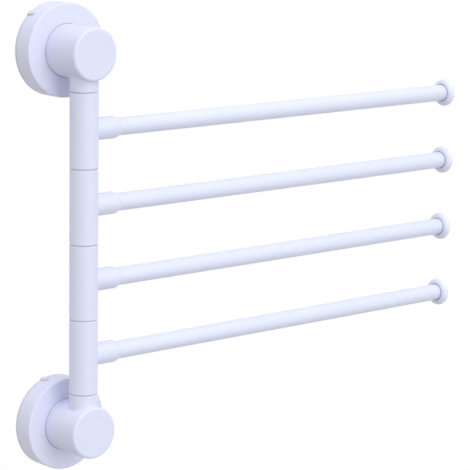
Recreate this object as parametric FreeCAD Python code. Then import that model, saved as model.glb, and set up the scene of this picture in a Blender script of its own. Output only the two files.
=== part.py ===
import FreeCAD, Part
import math
import os

from FreeCAD import Vector

# Swing arm towel bar: four arms turn about a post that two suction bases hold to a wall.
# Millimetres. The wall is the plane y = 0, the room lies towards -Y and +Z is up. The origin is the
# centre of the lower suction cup on the wall. At rest the arms point along +X, parallel to the wall.

# Gaps between pieces
RUNNING_FIT = 0.05  # radial gap of a fit that turns
SLIDING_FIT = 0.08  # radial gap of a fit that slides
PRESS_FIT = 0.03  # radial gap left in a pressed, screwed or glued joint
TAB_GAP = 0.3  # radial gap between a lock ring and the peel tab
END_PLAY = 0.1  # axial gap between faces that turn on each other
RING_GAP = 0.3  # radial gap between a hub and the lock ring round it
SKIRT_GAP = 0.3  # axial gap between a lock ring's skirt and the cup's rim
PLATE_GAP = 0.15  # gap between the pressure plate and the cup that it presses
SCREW_GAP = 0.25  # radial gap of a screw in a clearance hole

# Post: sleeves of equal height between the necks of two hubs
POST_STANDOFF = 35.2  # wall to post axis
POST_RADIUS = 10.0
POST_EDGE = 0.6  # rounding of each end of a sleeve or neck
ARM_COUNT = 4
ARM_PITCH = 53.2  # from one arm to the next
SEAM_HEIGHT = 0.6  # gap in the post's outside between two sleeves
SEAM_DEPTH = 0.7  # how far a bush flange lies in from the post's outside

# Steel rod inside the post, and its bushes
ROD_RADIUS = 6.0
ROD_WALL = 1.2
ROD_OVERRUN = 9.0  # how far the rod runs past a hub's axis
BUSH_WALL = 1.2
BUSH_LENGTH = 10.0
BUSH_SHOULDER = 0.6  # ledge in the sleeve that a bush seats against

# Arms
BAR_RADIUS = 6.25
BAR_WALL = 0.8
ARM_REACH = 352.0  # post axis to the end cap's flange
SOCKET_RADIUS = 7.85
SOCKET_REACH = 28.2  # post axis to the socket's mouth
SOCKET_TAPER = 3.2  # length of the cone at the mouth
SOCKET_LIP = 0.4  # wall left at the mouth
SOCKET_WEB = 3.6  # wall between the rod's bore and the end of the bar
SOCKET_ROOT = 0.6  # fillet where the socket leaves the sleeve

# End caps
CAP_RADIUS = 10.4
CAP_THICKNESS = 5.7
CAP_OUTER_EDGE = 2.6
CAP_INNER_EDGE = 2.2
CAP_SKIN = 2.0  # end wall left over the cored shank
CAP_RECESS = 1.6  # how deep the bar's end sits in the flange
CAP_RECESS_GAP = 0.8  # open ring round the bar in that recess
SHANK_LENGTH = 14.0
SHANK_WALL = 1.5
SHANK_SLOT = 1.6
SHANK_ROOT = 3.0  # length of the shank that the slots leave whole

# Hubs
HUB_RADIUS = 18.5
HUB_FRONT = 48.4  # wall to the hub's front face
HUB_REAR = 14.4  # wall to the hub's open rear end
HUB_WALL = 2.4
HUB_EDGE = 1.9
HUB_SADDLE = 0.6  # fillet where the neck leaves the barrel
NECK_REACH = 26.3  # hub axis to the end of the neck
ROD_BOSS_WALL = 3.0
ROD_BOSS_FLOOR = 2.0
HUB_RIB = 1.8
HUB_RIB_FRONT = 40.0  # wall to the front end of the ribs

# Screw that ties base core, hub and rod together
SCREW_RADIUS = 2.5
SCREW_LENGTH = 20.0
SCREW_HEAD_RADIUS = 4.3
SCREW_HEAD_HEIGHT = 3.0
SCREW_SOCKET_FLATS = 4.0
SCREW_SOCKET_DEPTH = 1.8
SCREW_POCKET_GAP = 0.9  # radial room round the head
SCREW_TUBE_WALL = 2.2

# Base core: the threaded stub behind the hub
CORE_SPIGOT = 5.9  # length inside the hub
CORE_WEB = 2.5
CORE_STEM_RADIUS = 15.2  # stem that the pressure plate slides on
CORE_KEY_WIDTH = 4.0
CORE_KEY_HEIGHT = 1.5
KEY_GAP = 0.2

# Suction cup and the stud moulded into it
CUP_RADIUS = 32.9
CUP_RIM = 1.6
CUP_SEAL_BAND = 8.9  # width of the flat band on the wall
CUP_HOLLOW = 2.6  # height of the hollow at the centre
CUP_LIP = 6.9  # width of the flat band on the cup's back, under the plate's edge
CUP_BOSS_RADIUS = 14.0
CUP_BOSS_HEIGHT = 6.4
CUP_SKIN = 1.0  # rubber behind and in front of the stud's foot
TAB_WIDTH = 3.8
TAB_THICKNESS = 1.1
TAB_LENGTH = 6.6  # wall to the free end of the peel tab, which is bent over the lock ring
STUD_FOOT_RADIUS = 10.5
STUD_NECK_RADIUS = 6.0
STUD_COLLAR_RADIUS = 11.5
STUD_COLLAR = 1.6
STUD_SHANK_RADIUS = 8.0
STUD_SHANK = 6.0

# Pressure plate and lock ring
LOCK_TRAVEL = 3.0  # how far ring and plate move off the wall when unlocked
TRAVEL_SPARE = 0.7  # room left between plate and core at the end of that travel
PLATE_THICKNESS = 1.85
PLATE_EDGE_GAP = 0.9  # radial gap between the plate and the ring's skirt
PLATE_PILOT_WALL = 2.0
PLATE_PILOT_HEIGHT = 9.0  # wall to the top of the pilot
RING_FRONT = 15.9  # wall to the lock ring's front face
RING_WALL = 2.2
RING_COLLAR_WALL = 2.4
RING_COLLAR = 6.5
RING_PRESS_WALL = 2.0
RING_EDGE = 1.0
RING_BORE_EDGE = 0.3
RING_RIBS = 8
RING_RIB = 1.6
RING_RIB_GAP = 0.6  # room between the ribs and the pilot

BASES = {"lower": -17.0, "upper": -39.0}  # where each peel tab stands, in degrees from straight up

# Worked out from the sizes above
SLEEVE_LENGTH = ARM_PITCH - SEAM_HEIGHT
FLANGE = SEAM_HEIGHT - END_PLAY
FLANGE_RADIUS = POST_RADIUS - SEAM_DEPTH
BUSH_BORE = ROD_RADIUS + RUNNING_FIT
BUSH_RADIUS = BUSH_BORE + BUSH_WALL
SOCKET_FLOOR = BUSH_RADIUS + SOCKET_WEB
BAR_END = ARM_REACH + CAP_RECESS
POST_TOP = NECK_REACH + ARM_COUNT * ARM_PITCH + SEAM_HEIGHT
HUB_SPACING = POST_TOP + NECK_REACH
CORE_FRONT = HUB_REAR + CORE_SPIGOT
SCREW_SEAT = CORE_FRONT - CORE_WEB
COLLAR_FRONT = CUP_BOSS_HEIGHT + STUD_COLLAR
CUP_SEAL_RADIUS = CUP_RADIUS - CUP_SEAL_BAND
CUP_FLAT_RADIUS = CUP_RADIUS - CUP_LIP
CUP_SLOPE = (CUP_BOSS_HEIGHT - CUP_RIM) / (CUP_FLAT_RADIUS - CUP_BOSS_RADIUS)
PLATE_RADIUS = CUP_RADIUS - RING_WALL - PLATE_EDGE_GAP
PLATE_BORE = CORE_STEM_RADIUS + SLIDING_FIT
PILOT_RADIUS = CUP_FLAT_RADIUS + PLATE_GAP

ALONG_X = Vector(1, 0, 0)
UP = Vector(0, 0, 1)
TO_ROOM = Vector(0, -1, 0)
OVERCUT = 1.0  # how far a cutting tool runs past what it cuts
NEAR = 1e-4
ALONG_AN_EDGE = (0.1, 0.5, 0.9)  # where an edge is tested, as shares of its length


def turned(points, base, axis, across):
    """Solid of revolution about an axis through base; points are (radius, distance along the axis)."""
    corners = [base + across * radius + axis * along for radius, along in points]
    solid = Part.Face(Part.makePolygon(corners + corners[:1])).revolve(base, axis, 360)
    if solid.Volume < 0:
        solid.reverse()
    return solid


def about_post(points, level=0.0):
    """Turned about the post; distances run up from a level."""
    return turned(points, Vector(0, -POST_STANDOFF, level), UP, ALONG_X)


def about_bar(points, level):
    """Turned about an arm's bar; distances run out from the post axis."""
    return turned(points, Vector(0, -POST_STANDOFF, level), ALONG_X, UP)


def about_hub(points):
    """Turned about the lower hub's axis; distances run from the wall into the room."""
    return turned(points, Vector(0, 0, 0), TO_ROOM, ALONG_X)


def rod_along(base, axis, radius, length):
    return Part.makeCylinder(radius, length, base, axis)


def rims(solid, centre, radius):
    """The circular edges of one radius round one centre."""
    return [
        edge
        for edge in solid.Edges
        if isinstance(edge.Curve, Part.Circle)
        and abs(edge.Curve.Radius - radius) < NEAR
        and edge.Curve.Center.distanceToPoint(centre) < NEAR
    ]


def saddle(solid, base, first, first_radius, second, second_radius):
    """The edges where two crossing cylinders meet; both axes pass through base."""

    def lies_on_both(edge):
        span = edge.LastParameter - edge.FirstParameter
        for share in ALONG_AN_EDGE:
            offset = edge.valueAt(edge.FirstParameter + share * span) - base
            for axis, radius in ((first, first_radius), (second, second_radius)):
                if abs(offset.cross(axis).Length - radius) > NEAR:
                    return False
        return True

    return [edge for edge in solid.Edges if lies_on_both(edge)]


def hexagon_prism(flats, base, axis, across, length):
    """Prism on a regular hexagon, with a corner along across."""
    corner = flats / math.sqrt(3)
    side = axis.cross(across)
    angles = [math.radians(60 * step) for step in range(6)]
    points = [base + across * (corner * math.cos(a)) + side * (corner * math.sin(a)) for a in angles]
    return Part.Face(Part.makePolygon(points + points[:1])).extrude(axis * length)


def cup_back(radius):
    """Height over the wall of the cup's back, outside its boss."""
    return CUP_RIM + CUP_SLOPE * max(CUP_FLAT_RADIUS - radius, 0.0)


def plate_back(radius):
    """Height over the wall of the pressure plate's back."""
    return cup_back(radius) + PLATE_GAP


def plate_front(radius):
    """Height over the wall of the pressure plate's front, outside its pilot."""
    return plate_back(radius) + PLATE_THICKNESS


def stem_front():
    """Height over the wall where the core's keyed stem ends and its threaded flange starts."""
    return plate_front(PLATE_BORE) + LOCK_TRAVEL + TRAVEL_SPARE


# Base pieces, made round the lower hub's axis


def suction_cup(tab_angle):
    """Soft cup: a flat sealing band, a shallow hollow and a boss that holds the stud's foot."""
    foot_back = CUP_HOLLOW + CUP_SKIN
    foot_front = CUP_BOSS_HEIGHT - CUP_SKIN
    outline = [
        (CUP_SEAL_RADIUS, 0),
        (CUP_RADIUS, 0),
        (CUP_RADIUS, CUP_RIM),
        (CUP_FLAT_RADIUS, CUP_RIM),
        (CUP_BOSS_RADIUS, CUP_BOSS_HEIGHT),
        (STUD_NECK_RADIUS, CUP_BOSS_HEIGHT),
        (STUD_NECK_RADIUS, foot_front),
        (STUD_FOOT_RADIUS, foot_front),
        (STUD_FOOT_RADIUS, foot_back),
        (0, foot_back),
        (0, CUP_HOLLOW),
    ]
    corners = [ALONG_X * radius + TO_ROOM * height for radius, height in outline]
    bend = (CUP_SEAL_RADIUS**2 + CUP_HOLLOW**2) / (2 * CUP_HOLLOW)
    mid_radius = CUP_SEAL_RADIUS / 2
    mid_height = CUP_HOLLOW - bend + math.sqrt(bend**2 - mid_radius**2)
    hollow = Part.Arc(corners[-1], ALONG_X * mid_radius + TO_ROOM * mid_height, corners[0])
    profile = Part.Wire(Part.makePolygon(corners).Edges + [hollow.toShape()])
    cup = Part.Face(profile).revolve(Vector(0, 0, 0), TO_ROOM, 360)
    if cup.Volume < 0:
        cup.reverse()

    # The tab is a tongue in the thickness of the rim, with a round-ended flap bent towards the room
    lift = (CUP_RIM - TAB_THICKNESS) / 2
    flap_radius = CUP_RADIUS + TAB_GAP
    half_width = TAB_WIDTH / 2
    round_centre = TAB_LENGTH - half_width
    tongue = Part.makeBox(
        TAB_WIDTH, TAB_THICKNESS, flap_radius + TAB_THICKNESS - CUP_FLAT_RADIUS,
        Vector(-half_width, -lift - TAB_THICKNESS, CUP_FLAT_RADIUS),
    )
    flap = Part.makeBox(
        TAB_WIDTH, round_centre - lift, TAB_THICKNESS, Vector(-half_width, -round_centre, flap_radius)
    )
    tip = rod_along(Vector(0, -round_centre, flap_radius), UP, half_width, TAB_THICKNESS)
    tab = tongue.fuse([flap, tip])
    tab.rotate(Vector(0, 0, 0), Vector(0, 1, 0), tab_angle)
    return cup.fuse(tab).removeSplitter()


def cup_stud():
    """Stiff stud: a foot inside the cup, a collar on it and a threaded shank, its thread left plain."""
    foot_back = CUP_HOLLOW + CUP_SKIN
    foot_front = CUP_BOSS_HEIGHT - CUP_SKIN
    return about_hub([
        (0, foot_back),
        (STUD_FOOT_RADIUS, foot_back),
        (STUD_FOOT_RADIUS, foot_front),
        (STUD_NECK_RADIUS, foot_front),
        (STUD_NECK_RADIUS, CUP_BOSS_HEIGHT),
        (STUD_COLLAR_RADIUS, CUP_BOSS_HEIGHT),
        (STUD_COLLAR_RADIUS, COLLAR_FRONT),
        (STUD_SHANK_RADIUS, COLLAR_FRONT),
        (STUD_SHANK_RADIUS, COLLAR_FRONT + STUD_SHANK),
        (0, COLLAR_FRONT + STUD_SHANK),
    ])


def base_core():
    """Core that the stud screws into, with a spigot in the hub and a keyed stem for the plate."""
    shank_bore = STUD_SHANK_RADIUS + PRESS_FIT
    collar_bore = STUD_COLLAR_RADIUS + PRESS_FIT
    pocket = SCREW_HEAD_RADIUS + SCREW_POCKET_GAP
    shank_end = COLLAR_FRONT + STUD_SHANK + END_PLAY
    spigot = HUB_RADIUS - HUB_WALL - PRESS_FIT
    hole = SCREW_RADIUS + SCREW_GAP
    core = about_hub([
        (collar_bore, CUP_BOSS_HEIGHT),
        (CORE_STEM_RADIUS, CUP_BOSS_HEIGHT),
        (CORE_STEM_RADIUS, stem_front()),
        (HUB_RADIUS, stem_front()),
        (HUB_RADIUS, HUB_REAR),
        (spigot, HUB_REAR),
        (spigot, CORE_FRONT),
        (hole, CORE_FRONT),
        (hole, SCREW_SEAT),
        (pocket, SCREW_SEAT),
        (pocket, shank_end),
        (shank_bore, shank_end),
        (shank_bore, COLLAR_FRONT),
        (collar_bore, COLLAR_FRONT),
    ])
    reach = CORE_STEM_RADIUS + CORE_KEY_HEIGHT
    keys = key_bar(CORE_KEY_WIDTH, reach, CUP_BOSS_HEIGHT, stem_front())
    inside = rod_along(TO_ROOM * CUP_BOSS_HEIGHT, TO_ROOM, collar_bore + NEAR, CORE_FRONT)
    return core.fuse(keys.cut(inside)).removeSplitter()


def key_bar(width, reach, back, front):
    """Bar across the hub axis, from one key to the opposite one."""
    return Part.makeBox(2 * reach, front - back, width, Vector(-reach, -front, -width / 2))


def pressure_plate():
    """Dished washer that presses the cup's rim; its pilot centres the lock ring."""
    pilot_bore = PILOT_RADIUS - PLATE_PILOT_WALL
    plate = about_hub([
        (PLATE_BORE, plate_back(PLATE_BORE)),
        (CUP_FLAT_RADIUS, plate_back(CUP_FLAT_RADIUS)),
        (PLATE_RADIUS, plate_back(PLATE_RADIUS)),
        (PLATE_RADIUS, plate_front(PLATE_RADIUS)),
        (PILOT_RADIUS, plate_front(PILOT_RADIUS)),
        (PILOT_RADIUS, PLATE_PILOT_HEIGHT),
        (pilot_bore, PLATE_PILOT_HEIGHT),
        (pilot_bore, plate_front(pilot_bore)),
        (PLATE_BORE, plate_front(PLATE_BORE)),
    ])
    reach = CORE_STEM_RADIUS + CORE_KEY_HEIGHT + KEY_GAP
    slots = key_bar(CORE_KEY_WIDTH + 2 * KEY_GAP, reach, 0, PLATE_PILOT_HEIGHT)
    return plate.cut(slots)


def lock_ring():
    """Puck round the hub: skirt, front, threaded collar, press wall on the plate and radial ribs."""
    bore = HUB_RADIUS + RING_GAP
    collar = bore + RING_COLLAR_WALL
    press_bore = PILOT_RADIUS + END_PLAY
    press_back = plate_front(press_bore) + END_PLAY
    under = RING_FRONT - RING_WALL
    skirt_back = CUP_RIM + SKIRT_GAP
    ring = about_hub([
        (CUP_RADIUS, skirt_back),
        (CUP_RADIUS, RING_FRONT),
        (bore, RING_FRONT),
        (bore, RING_FRONT - RING_COLLAR),
        (collar, RING_FRONT - RING_COLLAR),
        (collar, under),
        (press_bore, under),
        (press_bore, press_back),
        (press_bore + RING_PRESS_WALL, press_back),
        (press_bore + RING_PRESS_WALL, under),
        (CUP_RADIUS - RING_WALL, under),
        (CUP_RADIUS - RING_WALL, skirt_back),
    ])
    face = TO_ROOM * RING_FRONT
    ring = ring.makeFillet(RING_EDGE, rims(ring, face, CUP_RADIUS))
    ring = ring.makeFillet(RING_BORE_EDGE, rims(ring, face, bore))
    rib_back = PLATE_PILOT_HEIGHT + RING_RIB_GAP
    rib_start = collar - RING_COLLAR_WALL / 2
    rib_end = CUP_RADIUS - RING_WALL / 2
    for step in range(RING_RIBS):
        rib = Part.makeBox(
            rib_end - rib_start, under - rib_back + RING_WALL / 2, RING_RIB,
            Vector(rib_start, -under - RING_WALL / 2, -RING_RIB / 2),
        )
        rib.rotate(Vector(0, 0, 0), Vector(0, 1, 0), (step + 0.5) * 360 / RING_RIBS)
        ring = ring.fuse(rib)
    return ring.removeSplitter()


def hub():
    """Moulded barrel, closed in front, with the neck that carries the post and a boss for the rod."""
    crossing = Vector(0, -POST_STANDOFF, 0)
    barrel = rod_along(TO_ROOM * HUB_REAR, TO_ROOM, HUB_RADIUS, HUB_FRONT - HUB_REAR)
    neck = rod_along(crossing, UP, POST_RADIUS, NECK_REACH)
    shell = barrel.fuse(neck)
    meeting = saddle(shell, crossing, UP, POST_RADIUS, TO_ROOM, HUB_RADIUS)
    shell = shell.makeFillet(HUB_SADDLE, meeting)
    shell = shell.makeFillet(HUB_EDGE, rims(shell, TO_ROOM * HUB_FRONT, HUB_RADIUS))
    shell = shell.makeFillet(POST_EDGE, rims(shell, crossing + UP * NECK_REACH, POST_RADIUS))
    inside_radius = HUB_RADIUS - HUB_WALL
    inside_front = HUB_FRONT - HUB_WALL
    inside = rod_along(TO_ROOM * HUB_REAR, TO_ROOM, inside_radius, inside_front - HUB_REAR)
    shell = shell.cut(inside)

    bore = ROD_RADIUS + PRESS_FIT
    boss_foot = crossing - UP * (ROD_OVERRUN + ROD_BOSS_FLOOR)
    boss_height = ROD_OVERRUN + ROD_BOSS_FLOOR + HUB_RADIUS - HUB_WALL / 2
    boss = rod_along(boss_foot, UP, bore + ROD_BOSS_WALL, boss_height)
    tube_radius = SCREW_RADIUS + SCREW_GAP + SCREW_TUBE_WALL
    tube = rod_along(TO_ROOM * CORE_FRONT, TO_ROOM, tube_radius, POST_STANDOFF - CORE_FRONT)
    rib_back = CORE_FRONT + KEY_GAP
    rib_half = HUB_RADIUS - HUB_WALL / 2
    ribs = Part.makeBox(
        2 * rib_half, HUB_RIB_FRONT - rib_back, HUB_RIB,
        Vector(-rib_half, -HUB_RIB_FRONT, -HUB_RIB / 2),
    )
    solid = shell.fuse([boss, tube, ribs])

    rod_bore = rod_along(crossing - UP * ROD_OVERRUN, UP, bore, ROD_OVERRUN + NECK_REACH + OVERCUT)
    screw_bore = rod_along(
        TO_ROOM * (CORE_FRONT - OVERCUT), TO_ROOM, SCREW_RADIUS + SCREW_GAP,
        POST_STANDOFF - CORE_FRONT + OVERCUT,
    )
    return solid.cut([rod_bore, screw_bore])


def hub_screw():
    """Machine screw from the core's pocket into the plug in the rod; its thread is left plain."""
    screw = about_hub([
        (0, SCREW_SEAT - SCREW_HEAD_HEIGHT),
        (SCREW_HEAD_RADIUS, SCREW_SEAT - SCREW_HEAD_HEIGHT),
        (SCREW_HEAD_RADIUS, SCREW_SEAT),
        (SCREW_RADIUS, SCREW_SEAT),
        (SCREW_RADIUS, SCREW_SEAT + SCREW_LENGTH),
        (0, SCREW_SEAT + SCREW_LENGTH),
    ])
    head_back = TO_ROOM * (SCREW_SEAT - SCREW_HEAD_HEIGHT)
    drive = hexagon_prism(SCREW_SOCKET_FLATS, head_back, TO_ROOM, UP, SCREW_SOCKET_DEPTH)
    return screw.cut(drive)


def rod_plug():
    """Plug in the end of the rod, with the cross hole that the screw is tapped into."""
    crossing = Vector(0, -POST_STANDOFF, 0)
    radius = ROD_RADIUS - ROD_WALL - PRESS_FIT
    plug = rod_along(crossing - UP * ROD_OVERRUN, UP, radius, 2 * ROD_OVERRUN)
    tapped = rod_along(
        TO_ROOM * (POST_STANDOFF - ROD_RADIUS), TO_ROOM, SCREW_RADIUS + PRESS_FIT, 2 * ROD_RADIUS
    )
    return plug.cut(tapped)


# Post and arm pieces


def centre_rod():
    """Steel tube from hub to hub, drilled where the hub screws enter it."""
    bottom = -ROD_OVERRUN
    top = HUB_SPACING + ROD_OVERRUN
    inner = ROD_RADIUS - ROD_WALL
    tube = about_post([(inner, bottom), (ROD_RADIUS, bottom), (ROD_RADIUS, top), (inner, top)])
    entry = TO_ROOM * (POST_STANDOFF - ROD_RADIUS - OVERCUT)
    drill = SCREW_RADIUS + SCREW_GAP
    holes = [
        rod_along(entry + UP * level, TO_ROOM, drill, ROD_RADIUS + OVERCUT)
        for level in (0, HUB_SPACING)
    ]
    return tube.cut(holes)


def top_washer():
    """Washer in the topmost seam, on the upper neck."""
    return about_post([
        (BUSH_BORE, POST_TOP - FLANGE),
        (FLANGE_RADIUS, POST_TOP - FLANGE),
        (FLANGE_RADIUS, POST_TOP),
        (BUSH_BORE, POST_TOP),
    ])


def arm_sleeve(foot):
    """Moulded tee: one length of the post, with the arm's socket on its side."""
    axis_foot = Vector(0, -POST_STANDOFF, foot)
    crossing = axis_foot + UP * (SLEEVE_LENGTH / 2)
    body = rod_along(axis_foot, UP, POST_RADIUS, SLEEVE_LENGTH)
    mouth = BAR_RADIUS + PRESS_FIT + SOCKET_LIP
    socket = about_bar([
        (0, 0),
        (SOCKET_RADIUS, 0),
        (SOCKET_RADIUS, SOCKET_REACH - SOCKET_TAPER),
        (mouth, SOCKET_REACH),
        (0, SOCKET_REACH),
    ], crossing.z)
    tee = body.fuse(socket)
    meeting = saddle(tee, crossing, UP, POST_RADIUS, ALONG_X, SOCKET_RADIUS)
    tee = tee.makeFillet(SOCKET_ROOT, meeting)
    for end in (axis_foot, axis_foot + UP * SLEEVE_LENGTH):
        tee = tee.makeFillet(POST_EDGE, rims(tee, end, POST_RADIUS))

    wide = BUSH_RADIUS + PRESS_FIT
    narrow = BUSH_RADIUS - BUSH_SHOULDER
    rod_bore = about_post([
        (0, -OVERCUT),
        (wide, -OVERCUT),
        (wide, BUSH_LENGTH),
        (narrow, BUSH_LENGTH),
        (narrow, SLEEVE_LENGTH - BUSH_LENGTH),
        (wide, SLEEVE_LENGTH - BUSH_LENGTH),
        (wide, SLEEVE_LENGTH + OVERCUT),
        (0, SLEEVE_LENGTH + OVERCUT),
    ], foot)
    bar_bore = rod_along(
        crossing + ALONG_X * SOCKET_FLOOR, ALONG_X, BAR_RADIUS + PRESS_FIT, SOCKET_REACH
    )
    return tee.cut([rod_bore, bar_bore])


def lower_bush(foot):
    """Bush at the foot of a sleeve; its flange fills the seam and carries the arm's weight."""
    return about_post([
        (BUSH_BORE, -FLANGE),
        (FLANGE_RADIUS, -FLANGE),
        (FLANGE_RADIUS, 0),
        (BUSH_RADIUS, 0),
        (BUSH_RADIUS, BUSH_LENGTH),
        (BUSH_BORE, BUSH_LENGTH),
    ], foot)


def upper_bush(foot):
    """Plain bush at the top of a sleeve."""
    bottom = SLEEVE_LENGTH - BUSH_LENGTH
    return about_post([
        (BUSH_BORE, bottom),
        (BUSH_RADIUS, bottom),
        (BUSH_RADIUS, SLEEVE_LENGTH),
        (BUSH_BORE, SLEEVE_LENGTH),
    ], foot)


def arm_bar(level):
    """Thin-walled tube from the socket's floor to the bottom of the end cap's recess."""
    inner = BAR_RADIUS - BAR_WALL
    return about_bar([
        (inner, SOCKET_FLOOR),
        (BAR_RADIUS, SOCKET_FLOOR),
        (BAR_RADIUS, BAR_END),
        (inner, BAR_END),
    ], level)


def end_cap(level):
    """Round cap with a slotted, cored shank in the bar and a recess that the bar's end sits in."""
    shank = BAR_RADIUS - BAR_WALL - PRESS_FIT
    core = shank - SHANK_WALL
    shank_start = BAR_END - SHANK_LENGTH
    outer_face = ARM_REACH + CAP_THICKNESS
    recess = BAR_RADIUS + CAP_RECESS_GAP
    cap = about_bar([
        (core, shank_start),
        (shank, shank_start),
        (shank, BAR_END),
        (recess, BAR_END),
        (recess, ARM_REACH),
        (CAP_RADIUS, ARM_REACH),
        (CAP_RADIUS, outer_face),
        (0, outer_face),
        (0, outer_face - CAP_SKIN),
        (core, outer_face - CAP_SKIN),
    ], level)
    axis = Vector(0, -POST_STANDOFF, level)
    cap = cap.makeFillet(CAP_OUTER_EDGE, rims(cap, axis + ALONG_X * outer_face, CAP_RADIUS))
    cap = cap.makeFillet(CAP_INNER_EDGE, rims(cap, axis + ALONG_X * ARM_REACH, CAP_RADIUS))
    slot_start = shank_start - OVERCUT
    slot_length = SHANK_LENGTH - SHANK_ROOT + OVERCUT
    corner = axis + ALONG_X * slot_start
    upright = Part.makeBox(
        slot_length, SHANK_SLOT, 2 * BAR_RADIUS, corner - Vector(0, SHANK_SLOT / 2, BAR_RADIUS)
    )
    level_slot = Part.makeBox(
        slot_length, 2 * BAR_RADIUS, SHANK_SLOT, corner - Vector(0, BAR_RADIUS, SHANK_SLOT / 2)
    )
    return cap.cut([upright, level_slot])


def at_upper_base(solid, turn_over):
    """Carry a lower base piece to the upper base, turned over where it isn't the same both ways up."""
    moved = solid.copy()
    if turn_over:
        moved.rotate(Vector(0, 0, 0), Vector(0, 1, 0), 180)
    moved.translate(UP * HUB_SPACING)
    return moved


def base_pieces():
    """Every piece of the two bases, by name."""
    pieces = {}
    for name, solid in (
        ("hub", hub()),
        ("base_core", base_core()),
        ("hub_screw", hub_screw()),
        ("rod_plug", rod_plug()),
        ("cup_stud", cup_stud()),
        ("pressure_plate", pressure_plate()),
        ("lock_ring", lock_ring()),
    ):
        pieces["lower_" + name] = solid
        pieces["upper_" + name] = at_upper_base(solid, turn_over=True)
    pieces["lower_suction_cup"] = suction_cup(BASES["lower"])
    pieces["upper_suction_cup"] = at_upper_base(suction_cup(BASES["upper"]), turn_over=False)
    return pieces


def arm_pieces():
    """Every piece of the arms, by name, counted from the top."""
    pieces = {}
    for number in range(1, ARM_COUNT + 1):
        foot = NECK_REACH + SEAM_HEIGHT + (ARM_COUNT - number) * ARM_PITCH
        level = foot + SLEEVE_LENGTH / 2
        prefix = f"arm_{number}_"
        pieces[prefix + "sleeve"] = arm_sleeve(foot)
        pieces[prefix + "lower_bush"] = lower_bush(foot)
        pieces[prefix + "upper_bush"] = upper_bush(foot)
        pieces[prefix + "bar"] = arm_bar(level)
        pieces[prefix + "end_cap"] = end_cap(level)
    return pieces


def main():
    os.makedirs("parts", exist_ok=True)
    pieces = {"centre_rod": centre_rod(), "top_washer": top_washer()}
    pieces.update(base_pieces())
    pieces.update(arm_pieces())
    for name, solid in pieces.items():
        solid.exportStep(f"parts/{name}.step")
        print(f"{name}: {len(solid.Solids)} solid, {solid.Volume / 1000:.3f} cm3")


main()
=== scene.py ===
"""Looks of the swing arm towel bar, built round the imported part. Metres; +Z is up, the wall is y = 0."""

import math

import bmesh
import bpy
from bpy.props import FloatProperty, FloatVectorProperty, IntProperty, PointerProperty
from mathutils import Matrix, Vector


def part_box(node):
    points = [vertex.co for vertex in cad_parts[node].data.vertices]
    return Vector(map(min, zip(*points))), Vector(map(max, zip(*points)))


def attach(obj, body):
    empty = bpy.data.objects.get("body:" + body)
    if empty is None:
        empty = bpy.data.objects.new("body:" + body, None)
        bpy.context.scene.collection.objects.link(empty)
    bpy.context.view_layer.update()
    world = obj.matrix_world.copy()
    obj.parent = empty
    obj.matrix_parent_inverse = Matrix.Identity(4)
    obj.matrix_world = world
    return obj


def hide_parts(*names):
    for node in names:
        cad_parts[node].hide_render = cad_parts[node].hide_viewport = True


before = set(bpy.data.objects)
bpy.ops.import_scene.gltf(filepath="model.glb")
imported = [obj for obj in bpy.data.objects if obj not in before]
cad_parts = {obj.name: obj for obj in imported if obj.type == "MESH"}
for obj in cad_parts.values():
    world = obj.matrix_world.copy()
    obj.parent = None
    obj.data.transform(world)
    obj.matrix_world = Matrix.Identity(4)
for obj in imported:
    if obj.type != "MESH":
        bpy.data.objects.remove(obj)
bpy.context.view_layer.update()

bl_info = {
    "name": "Swing arm towel bar",
    "version": (1, 0, 0),
    "blender": (4, 5, 0),
    "location": "3D View > Sidebar > Towel bar",
    "description": "Dresses the packed towel bar with finished pieces, materials and a studio",
    "category": "Add Mesh",
}

ARMS = ("arm_1", "arm_2", "arm_3", "arm_4")
BASES = ("lower", "upper")
TAB_ANGLES = {"lower": -17.0, "upper": -39.0}  # where each peel tab stands, in degrees from straight up

TO_ROOM = Vector((0, -1, 0))
ALONG_ARM = Vector((1, 0, 0))
UP = Vector((0, 0, 1))

ROUND = 128  # facets round a turned piece
ARC_STEPS = 7  # facets in a quarter turn of a rounded edge
SUPPORT = 0.0003  # from a rounded edge to the row that keeps the flat beside it flat
MERGE = 1e-6  # rows nearer than this are one
SHARP = math.radians(32)  # faces that meet at a sharper turn than this show an edge
FULL = 2 * math.pi
BROKEN = 0.0002  # rounding of an edge that is only broken
PRESS_FIT = 0.00003  # gap round what is pressed into a bore
RUNNING_FIT = 0.00005  # gap between the rod and what turns on it


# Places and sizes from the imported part


def middle(node):
    low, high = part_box(node)
    return (low + high) / 2


def half_size(node):
    low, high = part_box(node)
    return (high - low) / 2


POST_Y = middle("arm_1_bar").y
SLEEVE_LOW, SLEEVE_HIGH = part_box("arm_1_sleeve")
HUB_LOW, HUB_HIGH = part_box("lower_hub")
RING_LOW, RING_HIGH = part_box("lower_lock_ring")
CAP_LOW, CAP_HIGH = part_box("arm_1_end_cap")
POST_RADIUS = -SLEEVE_LOW.x
SLEEVE_LENGTH = SLEEVE_HIGH.z - SLEEVE_LOW.z
SOCKET_MOUTH = SLEEVE_HIGH.x
BAR_START, BAR_END = (corner.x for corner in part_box("arm_1_bar"))
BAR_RADIUS = half_size("arm_1_bar").z
BUSH_RADIUS = half_size("arm_1_upper_bush").x
BUSH_LENGTH = 2 * half_size("arm_1_upper_bush").z
FLANGE_RADIUS = half_size("arm_1_lower_bush").x
FLANGE = SLEEVE_LOW.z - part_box("arm_1_lower_bush")[0].z
ROD_RADIUS = half_size("centre_rod").x
CAP_RADIUS = half_size("arm_1_end_cap").z
HUB_RADIUS = -HUB_LOW.z
HUB_FRONT, HUB_REAR = -HUB_LOW.y, -HUB_HIGH.y
NECK_END = HUB_HIGH.z
RING_RADIUS = half_size("lower_lock_ring").x
RING_FRONT, RING_BACK = -RING_LOW.y, -RING_HIGH.y
CUP_BOSS_HEIGHT = -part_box("lower_suction_cup")[0].y
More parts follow.
